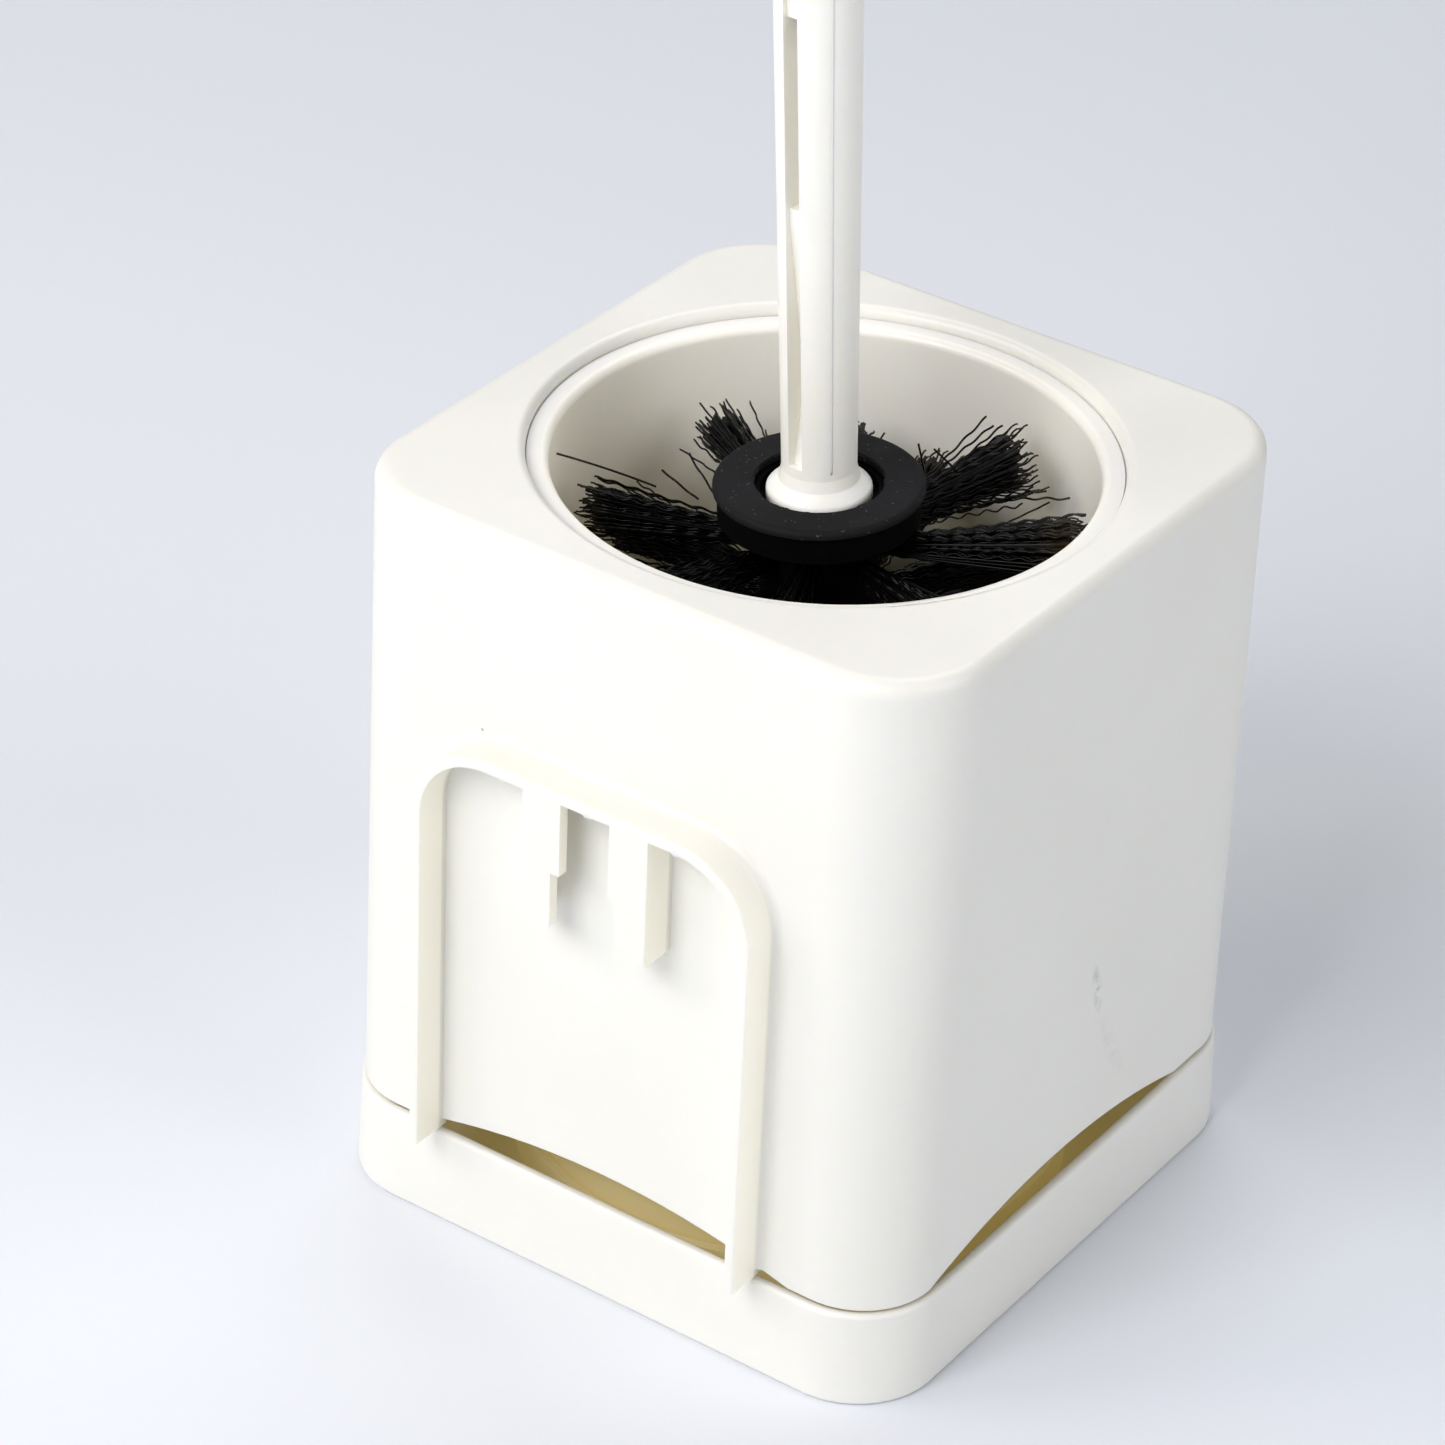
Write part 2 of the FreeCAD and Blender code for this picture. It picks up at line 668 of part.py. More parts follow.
def make_bristle_ring(ring):
    """One ring of tufts: each tuft is the flaring outline of its bundle of bristles."""
    height = size(f"ring_first - {ring} * ring_pitch")
    tufts = []
    for index in range(TUFTS_PER_RING):
        tuft = doc.addObject("Part::Cone", f"tuft_{ring}_{index}")
        bind(tuft, Radius1="tuft_root_radius", Radius2="tuft_tip_radius", Height="tuft_tip - tuft_root")
        tuft.Placement = outward(ring_angle(ring, index), size("tuft_root"), height)
        tufts.append(tuft)
    return group(f"bristle_ring_{ring + 1}", tufts)


def make_bristle_tip():
    """The short tufts that point down out of the core's end."""
    places = [(0.0, 0.0)]
    for index in range(TIP_TUFTS):
        heading = 2 * math.pi * index / TIP_TUFTS
        places.append((math.cos(heading), math.sin(heading)))
    tufts = []
    for index, (across, along) in enumerate(places):
        tuft = doc.addObject("Part::Cone", f"tip_tuft_{index}")
        bind(tuft, Radius1="tip_tuft_radius", Radius2="tip_tuft_end_radius", Height="tip_tuft_length")
        circle_radius = size("tip_tuft_circle")
        place = V(across * circle_radius, along * circle_radius, size("tip_tuft_root"))
        tuft.Placement = FreeCAD.Placement(place, FreeCAD.Rotation(V(1, 0, 0), 180))
        tufts.append(tuft)
    return group("bristle_tip", tufts)


def make_staples():
    """The flat wire anchors that hold the tufts in the bottoms of their holes."""
    staples = []
    for ring in range(RING_COUNT):
        height = size(f"ring_first - {ring} * ring_pitch")
        for index in range(TUFTS_PER_RING):
            staple = doc.addObject("Part::Box", f"staple_{ring}_{index}")
            bind(staple, Length="staple_height", Width="staple_width", Height="staple_thick")
            place = outward(ring_angle(ring, index), size("tuft_hole_bottom + 0.1"), height)
            centre = V(-size("staple_height") / 2, -size("staple_width") / 2, 0)
            staple.Placement = place.multiply(FreeCAD.Placement(centre, FreeCAD.Rotation()))
            staples.append(staple)
    return group("tuft_staples", staples)


# ---------------------------------------------------------------- build, check, write

standing = [make_drip_tray(), make_casing(), make_inner_tube()]
brush = [make_handle(), make_collar(), make_core()]
brush += [make_bristle_ring(ring) for ring in range(RING_COUNT)]
brush += [make_bristle_tip(), make_staples()]
doc.recompute()
for piece in brush:
    piece.Placement = brush_placement()
doc.recompute()

for item in doc.Objects:
    if "Invalid" in item.State or "Error" in item.State:
        raise RuntimeError(f"{item.Name} failed: {item.State}")

os.makedirs("parts", exist_ok=True)
for piece in standing + brush:
    if piece.Shape.isNull() or not piece.Shape.isValid():
        raise RuntimeError(f"{piece.Label} has no valid shape")
    piece.Shape.exportStep(f"parts/{piece.Label}.step")
    box = piece.Shape.BoundBox
    print(f"{piece.Label}: {len(piece.Shape.Solids)} solids, {piece.Shape.Volume:.0f} mm3,",
          f"x {box.XMin:.1f}..{box.XMax:.1f} y {box.YMin:.1f}..{box.YMax:.1f}",
          f"z {box.ZMin:.1f}..{box.ZMax:.1f}")
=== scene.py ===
"""Looks for the toilet brush holder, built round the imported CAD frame. Metres, +Z up."""
import json
import math

import bpy
import numpy as np
from mathutils import Matrix, Vector
from mathutils.bvhtree import BVHTree


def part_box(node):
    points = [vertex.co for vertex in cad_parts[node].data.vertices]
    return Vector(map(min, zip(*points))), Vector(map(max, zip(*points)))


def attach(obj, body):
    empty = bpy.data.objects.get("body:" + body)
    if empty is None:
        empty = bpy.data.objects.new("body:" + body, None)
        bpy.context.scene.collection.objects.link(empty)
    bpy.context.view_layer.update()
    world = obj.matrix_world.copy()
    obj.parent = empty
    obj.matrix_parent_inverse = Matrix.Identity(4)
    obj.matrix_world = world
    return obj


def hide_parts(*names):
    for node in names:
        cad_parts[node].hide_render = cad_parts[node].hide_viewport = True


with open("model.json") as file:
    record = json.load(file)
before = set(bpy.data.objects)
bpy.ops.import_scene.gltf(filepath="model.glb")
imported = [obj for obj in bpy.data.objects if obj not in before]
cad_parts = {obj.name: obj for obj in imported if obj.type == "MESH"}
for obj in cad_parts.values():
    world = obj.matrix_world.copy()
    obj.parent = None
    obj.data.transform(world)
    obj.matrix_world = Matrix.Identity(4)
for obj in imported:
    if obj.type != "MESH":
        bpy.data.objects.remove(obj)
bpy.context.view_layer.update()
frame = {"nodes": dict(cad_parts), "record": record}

MM = 0.001

# ---------------------------------------------------------------- the brush's own axes

HANG_HEIGHT = 246.0
LEAN_HEADING = math.radians(34.0)


def brush_axis():
    """The direction that the brush leans in and lifts along."""
    joint = next(item for item in frame["record"]["behaviour"]["joints"] if item["name"] == "brush_lift")
    return Vector(joint["axis"]).normalized()


def collar_top():
    """The middle of the collar's top face, which the hanging hole stands HANG_HEIGHT above."""
    hole = next(item for item in frame["record"]["mounts"] if item["name"] == "hang_hole")
    return Vector(hole["pos_m"]) - brush_axis() * HANG_HEIGHT * MM


def brush_matrix():
    """From the brush's own upright axes, with zero at the top of the collar, to the row frame."""
    lean = Vector((0, 0, 1)).rotation_difference(brush_axis())
    return Matrix.Translation(collar_top()) @ lean.to_matrix().to_4x4()


def on_brush(points):
    """Points in millimetres in the brush's own axes, as points in the row frame."""
    matrix = np.array(brush_matrix())
    return (np.asarray(points) * MM @ matrix[:3, :3].T + matrix[:3, 3]).tolist()


# ---------------------------------------------------------------- camera, light and floor

SENSOR_MM = 36.0
LENS_MM = 131.349
LAMP_AIM = (0.0, 0.0, 0.07)
# Name, place, width, power in watts and colour. The windows stand out beyond the rail's face.
LAMPS = (
    ("window_left", (0.56, 0.90, 1.13), 0.7, 4.6, (0.82, 0.80, 1.0)),
    ("window_side", (1.01, 0.705, 0.93), 0.7, 5.5, (1.0, 0.94, 0.76)),
    ("window_back", (0.10, 1.145, 1.03), 0.85, 12.6, (1.0, 0.997, 0.986)),
    ("window_low", (0.05, 1.25, 0.36), 1.2, 0.9, (1.0, 0.99, 0.96)),
    ("fill_near", (-1.31, -0.11, 0.99), 1.2, 8.6, (1.0, 0.988, 0.994)),
    ("fill_far", (0.46, -0.795, 1.38), 1.2, 9.0, (0.96, 0.97, 1.0)),
)
FLOOR_SIZE = 6.0
FLOOR_DROP = 0.00005
BACKDROP_RADIUS = 2.9
BACKDROP_HEIGHT = 1.0
BACKDROP_GLOW = 0.30
PAPER_DARK = (0.76, 0.787, 0.835)
PAPER_PALE = (0.78, 0.807, 0.855)


def make_camera():
    """A long lens that looks down at the corner between the rail's face and the -X face."""
    azimuth = math.radians(214.057)
    elevation = math.radians(32.494)
    roll = math.radians(2.574)
    distance = 854.1 * MM
    target = Vector((11.95, 7.93, 81.29)) * MM
    back = Vector((math.sin(azimuth) * math.cos(elevation),
                   -math.cos(azimuth) * math.cos(elevation),
                   math.sin(elevation)))
    level = Vector((math.cos(azimuth), math.sin(azimuth), 0.0))
    upright = back.cross(level)
    right = level * math.cos(roll) + upright * math.sin(roll)
    up = upright * math.cos(roll) - level * math.sin(roll)
    data = bpy.data.cameras.new("camera")
    data.sensor_width = SENSOR_MM
    data.lens = LENS_MM
    data.clip_start = 0.05
    data.clip_end = 20.0
    camera = bpy.data.objects.new("camera", data)
    bpy.context.collection.objects.link(camera)
    camera.matrix_world = Matrix((
        (right.x, up.x, back.x, 0.0),
        (right.y, up.y, back.y, 0.0),
        (right.z, up.z, back.z, 0.0),
        (0.0, 0.0, 0.0, 1.0)))
    camera.location = target + back * distance
    bpy.context.scene.camera = camera


def make_light(name, place, size, power, colour):
    """A soft round lamp, turned towards the object."""
    data = bpy.data.lights.new(name, "AREA")
    data.shape = "DISK"
    data.size = size
    data.energy = power
    data.color = colour
    light = bpy.data.objects.new(name, data)
    bpy.context.collection.objects.link(light)
    light.location = place
    light.rotation_mode = "QUATERNION"
    light.rotation_quaternion = (Vector(LAMP_AIM) - Vector(place)).to_track_quat("-Z", "Y")


def make_studio():
    """The lamps, in a world that is dark beyond the backdrop."""
    for lamp in LAMPS:
        make_light(*lamp)
    world = bpy.data.worlds.new("studio")
    world.use_nodes = True
    world.node_tree.nodes["Background"].inputs["Strength"].default_value = 0.0
    bpy.context.scene.world = world
    bpy.context.scene.view_settings.view_transform = "Standard"
    bpy.context.scene.view_settings.look = "None"


def make_floor():
    """Pale paper, a hair below the tray so that the two don't share a plane."""
    bpy.ops.mesh.primitive_plane_add(size=FLOOR_SIZE, location=(0.0, 0.0, -FLOOR_DROP))
    floor = bpy.context.object
    floor.name = "floor"
    paint = Paint("floor_paper")
    grain = paint.noise(900.0, 3.0)
    paint.colour(paint.mix_colour(grain, PAPER_DARK, PAPER_PALE))
    paint.set("Roughness", 0.75)
    paint.bump(grain, 0.02, 0.0002)
    floor.data.materials.append(paint.material)


def make_backdrop():
    """A low pale wall all round, so that level views don't end in the dark."""
    bpy.ops.mesh.primitive_cylinder_add(vertices=96, radius=BACKDROP_RADIUS, depth=BACKDROP_HEIGHT,
                                        end_fill_type="NOTHING",
                                        location=(0.0, 0.0, BACKDROP_HEIGHT / 2))
    wall = bpy.context.object
    wall.name = "backdrop"
    paint = Paint("backdrop_paper")
    paint.colour(paint.mix_colour(paint.noise(3.0, 2.0), PAPER_DARK, PAPER_PALE))
    paint.set("Roughness", 0.8)
    glow(paint, BACKDROP_GLOW, (0.86, 0.92, 1.0))
    wall.data.materials.append(paint.material)


# ---------------------------------------------------------------- materials

class Paint:
    """A Principled material with short helpers for its procedural nodes."""

    def __init__(self, name):
        self.material = bpy.data.materials.new(name)
        self.material.use_nodes = True
        self.tree = self.material.node_tree
        self.shader = self.tree.nodes["Principled BSDF"]
        place = self.tree.nodes.new("ShaderNodeTexCoord")
        self.place = place.outputs["Object"]

    def node(self, kind, **sockets):
        """A new node, with its inputs fed by name; an underscore stands for a space."""
        made = self.tree.nodes.new(kind)
        for name, value in sockets.items():
            self.feed(made.inputs[name.replace("_", " ")], value)
        return made

    def feed(self, socket, value):
        """Links a socket to another, or sets it to a constant."""
        if isinstance(value, bpy.types.NodeSocket):
            self.tree.links.new(value, socket)
        else:
            socket.default_value = value

    def set(self, name, value):
        self.feed(self.shader.inputs[name], value)

    def noise(self, scale, detail=2.0, where=None):
        made = self.node("ShaderNodeTexNoise", Scale=scale, Detail=detail)
        self.feed(made.inputs["Vector"], self.place if where is None else where)
        return made.outputs["Fac"]

    def span(self, value, low, high, to_low=0.0, to_high=1.0):
        """Rescales value from low..high to to_low..to_high, clamped."""
        made = self.node("ShaderNodeMapRange", Value=value)
        made.inputs["From Min"].default_value = low
        made.inputs["From Max"].default_value = high
        made.inputs["To Min"].default_value = to_low
        made.inputs["To Max"].default_value = to_high
        return made.outputs["Result"]

    def maths(self, operation, *values):
        made = self.tree.nodes.new("ShaderNodeMath")
        made.operation = operation
        for socket, value in zip(made.inputs, values):
            self.feed(socket, value)
        return made.outputs["Value"]

    def axis(self, name):
        """The X, Y or Z place in the row frame."""
        split = self.node("ShaderNodeSeparateXYZ", Vector=self.place)
        return split.outputs[name]

    def moved(self, shift=(0, 0, 0), turn=(0, 0, 0), scale=(1, 1, 1)):
        """Places as seen from a frame that is shifted, turned and scaled."""
        made = self.node("ShaderNodeMapping", Vector=self.place)
        made.vector_type = "TEXTURE"
        made.inputs["Location"].default_value = shift
        made.inputs["Rotation"].default_value = turn
        made.inputs["Scale"].default_value = scale
        return made.outputs["Vector"]

    def mix_colour(self, amount, first, second):
        made = self.tree.nodes.new("ShaderNodeMix")
        made.data_type = "RGBA"
        self.feed(made.inputs[0], amount)
        for socket, value in ((made.inputs[6], first), (made.inputs[7], second)):
            self.feed(socket, (*value, 1.0) if isinstance(value, tuple) else value)
        return made.outputs[2]

    def colour(self, value):
        self.set("Base Color", value)

    def bump(self, height, strength, distance):
        made = self.node("ShaderNodeBump", Strength=strength, Distance=distance, Height=height)
        self.set("Normal", made.outputs["Normal"])


def moulded_plastic(name, tone, shade, rough_low, rough_high, marks=None):
    """Injection-moulded plastic: faint flow clouds, an orange-peel skin and uneven gloss."""
    paint = Paint(name)
    clouds = paint.noise(22.0, 3.0)
    skin = paint.noise(1400.0, 2.0)
    handled = paint.noise(60.0, 3.0)
    colour = paint.mix_colour(paint.span(clouds, 0.35, 0.65), tone, shade)
    rough = paint.span(handled, 0.3, 0.7, rough_low, rough_high)
    # the marks hook may add real dirt, and also painted shade and painted glow
    if marks:
        colour, rough = marks(paint, colour, rough)
    paint.colour(colour)
    paint.set("Roughness", rough)
    paint.set("Subsurface Weight", 0.35)
    paint.set("Subsurface Radius", (1.0, 0.85, 0.5))
    paint.set("Subsurface Scale", 0.0025)
    paint.bump(skin, 0.05, 0.00012)
    return paint.material


def soft_spot(paint, centre, size, turn=(0, 0, 0)):
    """1 inside an ellipsoid in the row frame, fading to 0 at its edge."""
    where = paint.moved(centre, turn, size)
    reach = paint.node("ShaderNodeVectorMath", Vector=where)
    reach.operation = "LENGTH"
    return paint.span(reach.outputs["Value"], 0.2, 1.0, 1.0, 0.0)


RAIL_START = 0.0556
# Colour of the painted glow on the side faces of the rail's thin ribs.
RIB_GLOW = (0.14, 0.13, 0.095)
DIRT = (0.16, 0.165, 0.17)
# Centre, half sizes, turn about X, strength and whether the edge is torn.
MARKS = (
    ((-0.055, -0.0038, 0.0515), (0.003, 0.0016, 0.0058), -0.25, 0.55, True),
    ((-0.055, -0.010, 0.037), (0.003, 0.0020, 0.011), -0.5, 0.12, True),
    ((-0.0535, -0.0475, 0.1315), (0.006, 0.006, 0.003), 0.0, 0.10, False),
    ((0.0250, 0.0550, 0.0982), (0.0004, 0.0009, 0.0004), 0.0, 0.7, False),
    ((-0.0132, 0.0619, 0.0939), (0.0004, 0.0009, 0.0004), 0.0, 0.7, False),
)


def casing_dirt_and_rib_glow(paint, colour, rough):
    """A scuff, a faint streak, a smudge and two specks, and a painted glow on the side faces of the rail's
    thin ribs, standing in for light through them.
    """
    torn = paint.span(paint.noise(500.0, 5.0), 0.38, 0.60)
    dirt = 0.0
    for centre, size, tilt, strength, ragged in MARKS:
        mark = soft_spot(paint, centre, size, (tilt, 0, 0))
        if ragged:
            mark = paint.maths("MULTIPLY", mark, torn)
        dirt = paint.maths("MAXIMUM", dirt, paint.maths("MULTIPLY", mark, strength))
    facing = paint.node("ShaderNodeNewGeometry").outputs["Normal"]
    sideways = paint.node("ShaderNodeSeparateXYZ", Vector=facing)
    proud = paint.span(paint.axis("Y"), RAIL_START, RAIL_START + 0.0005)
    ribs = paint.maths("MULTIPLY", paint.maths("ABSOLUTE", sideways.outputs["X"]), proud)
    # painted light: a glow on the ribs' side faces, standing in for light through the thin plastic
    glow(paint, paint.maths("POWER", ribs, 3.0), RIB_GLOW)
    colour = paint.mix_colour(dirt, colour, DIRT)
    rough = paint.maths("ADD", rough, paint.maths("MULTIPLY", dirt, 0.3))
    return colour, rough


# Painted light and shade: the two glow colours are painted glows that stand in for light through thin
# walls, and the khaki colour is painted shade for hollows lit only after many reflections.
GAP_GLOW = (0.10, 0.078, 0.026)
WALL_GLOW = (0.11, 0.097, 0.064)
PAINTED_KHAKI_SHADE = (0.70, 0.615, 0.38)
GLOW_TOP = 0.0245
RIM_INSIDE = 0.0535
CORNER_INSIDE = 0.0702
GLOW_FLOOR = 0.0005
TUBE_OUTSIDE = 0.0444
WINDOW_HEADING = math.radians(50.0)


def glow(paint, amount, colour):
    """A faint light of the surface's own, such as comes through thin walls; 0 is none."""
    paint.set("Emission Color", (*colour, 1.0) if isinstance(colour, tuple) else colour)
    paint.set("Emission Strength", amount)


def gap_height(paint):
    """1 up to GLOW_TOP, fading to 0 just above it."""
    return paint.span(paint.axis("Z"), GLOW_TOP + 0.004, GLOW_TOP)


def reach_out(paint):
    """How far a point is from the upright axis."""
    across = paint.axis("X")
    along = paint.axis("Y")
    return paint.maths("SQRT", paint.maths("ADD", paint.maths("MULTIPLY", across, across),
                                           paint.maths("MULTIPLY", along, along)))


def tray_painted_shade_and_glow(paint, colour, rough):
    """Painted shade and light on the tray's inside, which shows through the arches: a khaki colour for its
    dim yellowed shade, and a faint painted glow.
    """
    across = paint.maths("ABSOLUTE", paint.axis("X"))
    along = paint.maths("ABSOLUTE", paint.axis("Y"))
    inside = paint.span(paint.maths("MAXIMUM", across, along), RIM_INSIDE, RIM_INSIDE - 0.0003)
    corner = paint.span(reach_out(paint), CORNER_INSIDE, CORNER_INSIDE - 0.0005)
    inside = paint.maths("MULTIPLY", inside, corner)
    inside = paint.maths("MULTIPLY", inside, paint.span(paint.axis("Z"), GLOW_FLOOR, GLOW_FLOOR + 0.001))
    # painted light and shade: a faint glow and a khaki colour on the tray's inside
    glow(paint, inside, GAP_GLOW)
    return paint.mix_colour(inside, colour, PAINTED_KHAKI_SHADE), rough


def tube_painted_shade_and_glow(paint, colour, rough):
    """Painted shade: khaki on the outer face and deep inside, where light comes only after many
    reflections; and a painted glow on the inside, brighter towards the windows, for light through the
    wall.
    """
    outside = paint.span(reach_out(paint), TUBE_OUTSIDE, TUBE_OUTSIDE + 0.0005)
    below = paint.span(paint.axis("Z"), 0.126, 0.120)
    amount = paint.maths("MULTIPLY", outside, below)
    # painted shade: khaki deep inside the tube and on its outer face
    deep = paint.span(paint.axis("Z"), 0.112, 0.085, 0.0, 0.9)
    colour = paint.mix_colour(paint.maths("MAXIMUM", amount, deep), colour, PAINTED_KHAKI_SHADE)
    # painted light: a glow on the inside, brighter on the side that faces the windows
    toward = paint.maths("ADD", paint.maths("MULTIPLY", paint.axis("X"), math.cos(WINDOW_HEADING)),
                         paint.maths("MULTIPLY", paint.axis("Y"), math.sin(WINDOW_HEADING)))
    lit = paint.span(toward, -0.042, 0.042, 0.35, 1.25)
    lit = paint.maths("MULTIPLY", lit, paint.span(paint.axis("Z"), 0.085, 0.115))
    where = paint.mix_colour(outside, lit, gap_height(paint))
    glow(paint, where, paint.mix_colour(outside, WALL_GLOW, GAP_GLOW))
    return colour, rough


def rubber(name):
    """Matte black rubber with worn patches and a little dust."""
    paint = Paint(name)
    grain = paint.noise(2600.0, 4.0)
    worn = paint.noise(160.0, 4.0)
    dust = paint.span(paint.noise(1500.0, 1.0), 0.72, 0.77)
    colour = paint.mix_colour(paint.span(worn, 0.35, 0.70),
                              (0.0042, 0.0042, 0.0052), (0.0085, 0.0085, 0.0098))
    paint.colour(paint.mix_colour(paint.maths("MULTIPLY", dust, 0.25), colour, (0.3, 0.3, 0.3)))
    paint.set("Roughness", paint.span(worn, 0.3, 0.7, 0.62, 0.8))
    paint.set("Specular IOR Level", 0.18)
    paint.bump(grain, 0.25, 0.00015)
    return paint.material


def black_plastic(name):
    """Dull black plastic, which is only seen between the tufts."""
    paint = Paint(name)
    cloud = paint.noise(300.0, 3.0)
    paint.colour(paint.mix_colour(cloud, (0.0015, 0.0015, 0.0018), (0.003, 0.003, 0.003)))
    paint.set("Roughness", paint.span(cloud, 0.3, 0.7, 0.5, 0.7))
    paint.set("Specular IOR Level", 0.02)
    paint.bump(paint.noise(2500.0, 2.0), 0.1, 0.0001)
    return paint.material


def bristle_nylon(name):
    """Black nylon whose colour is lightened to a warm tone towards the tips: painted light that stands in
    for light through the thin tips.
    """
    paint = Paint(name)
    tip = paint.node("ShaderNodeAttribute").outputs["Fac"]
    tip.node.attribute_name = "tip"
    fleck = paint.noise(700.0, 2.0)
    # painted light: a warm colour towards the tips, patchy by the fleck noise
    painted_tip_light = paint.maths("MULTIPLY", tip, paint.span(fleck, 0.3, 0.6, 0.3, 1.0))
    paint.colour(paint.mix_colour(painted_tip_light, (0.0010, 0.0009, 0.0008), (0.028, 0.020, 0.008)))
    paint.set("Roughness", paint.span(fleck, 0.3, 0.7, 0.28, 0.34))
    paint.set("Specular IOR Level", 0.22)
    return paint.material


def steel(name):
    """Drawn steel wire, streaked along its length."""
    paint = Paint(name)
    drawn = paint.noise(60.0, 2.0, paint.moved(scale=(1.0, 1.0, 0.05)))
    paint.colour(paint.mix_colour(drawn, (0.55, 0.55, 0.56), (0.68, 0.68, 0.69)))
    paint.set("Metallic", 1.0)
    paint.set("Roughness", paint.span(drawn, 0.3, 0.7, 0.25, 0.4))
    return paint.material


def seam_painted_shade(name):
    """Painted shade: a patchy tan colour along the groove, standing in for the soft shaded band on the
    recess's rounded shoulder.
    """
    paint = Paint(name)
    patches = paint.span(paint.noise(60.0, 4.0), 0.4, 0.65)
    paint.colour(paint.mix_colour(patches, (0.84, 0.79, 0.68), (0.74, 0.62, 0.42)))
    paint.set("Roughness", paint.span(patches, 0.0, 1.0, 0.5, 0.8))
    return paint.material


def dress(node, material):
    """Gives a CAD node its material; its shape stays as it is."""
    for slot in frame["nodes"][node].material_slots:
        slot.material = material


# ---------------------------------------------------------------- meshes

def mesh_piece(name, points, faces, material, smooth=True):
    data = bpy.data.meshes.new(name)
    data.from_pydata(points, [], faces)
    data.update()
    piece = bpy.data.objects.new(name, data)
    bpy.context.collection.objects.link(piece)
    data.materials.append(material)
    if smooth:
        data.polygons.foreach_set("use_smooth", [True] * len(data.polygons))
    return piece


# ---------------------------------------------------------------- bristles

# Millimetres, in the brush's own axes.
RING_COUNT = 9
TUFTS_PER_RING = 8
TUFT_TURN = math.radians(25.0)
TUFT_ROOT = 1.45
RING_FIRST = -11.0
RING_PITCH = 10.4
WAVE_LENGTH = 3.5
WAVE_HEIGHT = 0.27
BRISTLE_RADIUS = 0.19
ROOT_REACH = 5.6
USUAL_REACH = 38.6
USUAL_SPREAD = (7.6, 6.0)
TUBE_RADIUS = 43.5
TUBE_GAP = 0.5

# The two rings that are seen from above have more bristles, of more points, and bend upwards.
TOP_RINGS = 2
TOP_COUNT, TOP_STEPS = 54, 58
LOW_COUNT, LOW_STEPS = 46, 40
TOP_RISE = 2.4
TOP_EXTRA = 3.6

# Straight, thicker bristles inside each tuft, so that it isn't seen through.
FILL_COUNT, FILL_STEPS = 70, 12
FILL_RADIUS = 0.34
FILL_LENGTH = 0.94
FILL_SPREAD = 0.95

# Some bristles lean further out of their tuft than the rest.
UNRULY_SHARE = 0.08
UNRULY_THROW = 1.6

# Turn in degrees, reach, rise, and spread across and upwards, for each tuft of the topmost ring.
TOP_TUFTS = (
    (0.0, 38.4, 2.6, 5.0, 4.6),
    (0.0, 38.6, 1.0, 7.0, 5.0),
    (0.0, 38.6, 1.0, 7.0, 5.0),
    (0.0, 38.6, 1.0, 7.0, 5.0),
    (0.0, 42.4, 3.0, 6.0, 5.6),
    (-5.0, 38.2, 3.6, 5.4, 6.4),
    (2.0, 34.5, 0.6, 4.2, 4.4),
    (-9.0, 36.0, 3.2, 5.0, 4.6),
)


def free_reach(heading, height):
    """How far a bristle may reach from the brush's axis before it meets the tube's wall."""
    tilt = brush_axis().angle(Vector((0, 0, 1)))
    shift = collar_top().xy.length / MM + height * math.tan(tilt)
    return TUBE_RADIUS - TUBE_GAP - shift * math.cos(heading - LEAN_HEADING)


def bristle_lines(rng, heading, height, count, steps, rise, reach, spread, fill=False):
    """Centre lines of one tuft's crimped bristles, in millimetres, in the brush's own axes."""
    out = np.array([math.cos(heading), math.sin(heading), 0.0])
    side = np.array([-math.sin(heading), math.cos(heading), 0.0])
    up = np.array([0.0, 0.0, 1.0])
    t = np.linspace(0.0, 1.0, steps)
    phase = rng.uniform(0, 2 * math.pi)
    lines = []
    for _ in range(count):
        angle = rng.uniform(0, 2 * math.pi)
        place = math.sqrt(rng.uniform(0, 0.6 if fill else 1.0))
        root = TUFT_ROOT * place * np.array([math.cos(angle), math.sin(angle)])
        unruly = not fill and rng.uniform() < UNRULY_SHARE
        throw = spread * (UNRULY_THROW if unruly else 1.0)
        tip = place * np.array([throw[0] * math.cos(angle), throw[1] * math.sin(angle)])
        tip += rng.normal(0, 0.4, 2)
        length = reach * FILL_LENGTH if fill else reach + rng.normal(0, 0.8) - place
        length = min(length, free_reach(heading, height))
        along = ROOT_REACH + (length - ROOT_REACH) * t
        fan = t ** 1.2
        across = root[0] + (tip[0] - root[0]) * fan
        lift = root[1] + (tip[1] - root[1]) * fan + rise * t ** 1.4
        wave = 2 * math.pi * along / WAVE_LENGTH + phase + rng.normal(0, 0.3)
        size = (0.0 if fill else WAVE_HEIGHT) * rng.uniform(0.75, 1.2) * np.minimum(1.0, t * 6)
        twist = rng.normal(0.3, 0.5)
        lift = lift + size * np.sin(wave) * math.cos(twist)
        across = across + size * np.sin(wave) * math.sin(twist)
        lines.append(along[:, None] * out + across[:, None] * side + (height + lift)[:, None] * up)
    return np.array(lines)


